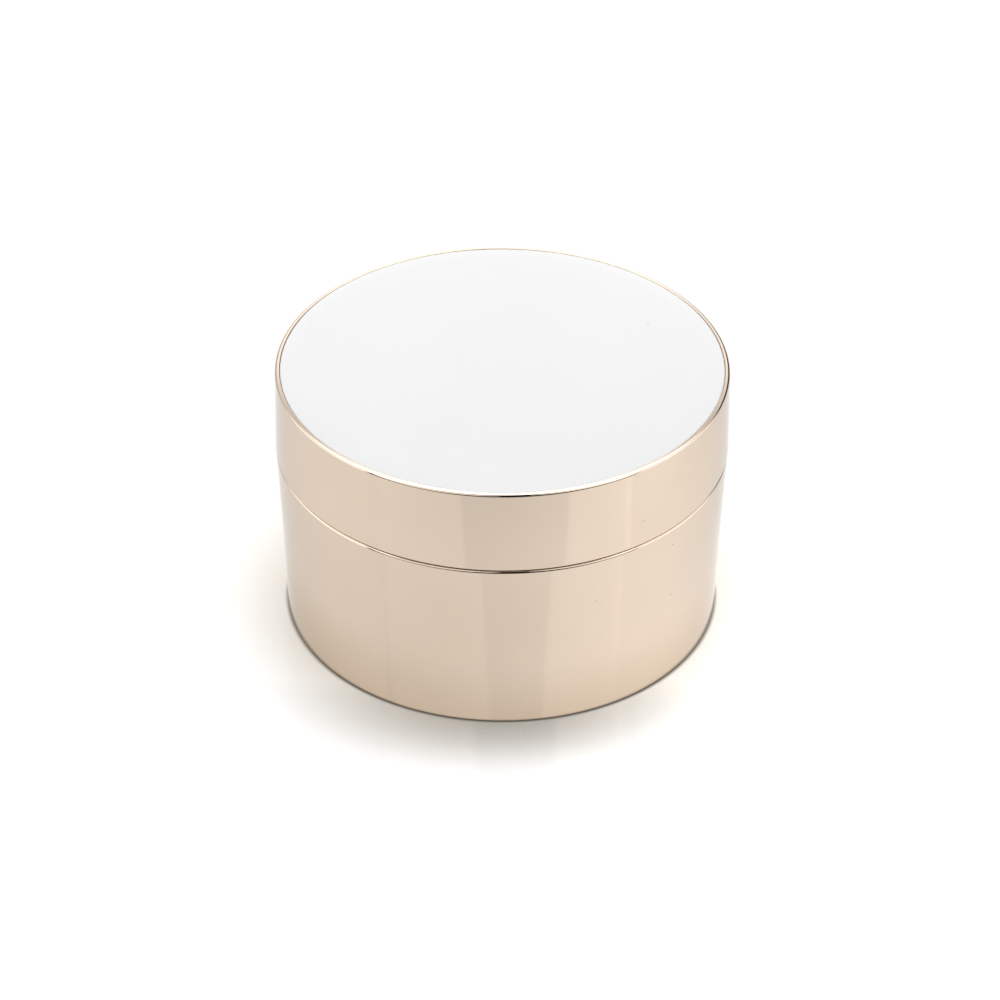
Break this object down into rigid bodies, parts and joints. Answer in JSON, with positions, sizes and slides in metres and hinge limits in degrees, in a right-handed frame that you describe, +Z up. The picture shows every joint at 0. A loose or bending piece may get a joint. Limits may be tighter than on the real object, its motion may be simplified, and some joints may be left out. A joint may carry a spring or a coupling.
{
  "type": "cosmetic cream jar",
  "caption": "Low round double-walled cosmetic cream jar with a metallised screw lid, white disc inlay, threaded inner cup and shoulder ring.",
  "frame": {"origin": "centre of the foot, on the surface the jar stands on", "axes": "+Z up along the jar's axis of revolution, out through the lid; X and Y lie in the plane of the foot"},
  "size_m": [0.078, 0.078, 0.0475],
  "materials": {
    "metallised_body": "vacuum-metallised champagne gold, mirror bright, over ABS",
    "metallised_lid": "vacuum-metallised champagne gold, mirror bright, over ABS",
    "metallised_collar": "vacuum-metallised champagne gold, mirror bright, over ABS",
    "white_disc": "glossy white acrylic",
    "cup_plastic": "natural white polypropylene, satin",
    "cap_plastic": "natural white polypropylene, satin",
    "white_moulding": "white moulded plastic, fine texture",
    "liner_foam": "white expanded polyethylene foam",
    "adhesive": "translucent adhesive film"
  },
  "bodies": {
    "jar": {"jar_shell": "metallised_body", "base_plate": "white_moulding", "inner_cup": "cup_plastic", "collar_ring": "metallised_collar"},
    "liner": {"lid_liner": "liner_foam"},
    "lid": {"lid_shell": "metallised_lid", "disc_adhesive": "adhesive", "lid_top_disc": "white_disc", "lid_inner_cap": "cap_plastic"}
  },
  "joints": [
    {"name": "lid_rise", "type": "slide", "parent": "jar", "child": "liner", "axis": [0, 0, 1], "range_m": [0, 0.0301]},
    {"name": "lid_turn", "type": "hinge", "parent": "liner", "child": "lid", "pos_m": [0, 0, 0.0405], "axis": [0, 0, 1], "range_deg": [0, 900]}
  ],
  "couplings": [
    {"joint": "lid_rise", "follows": "lid_turn", "m_per_rad": 0.0019099}
  ]
}
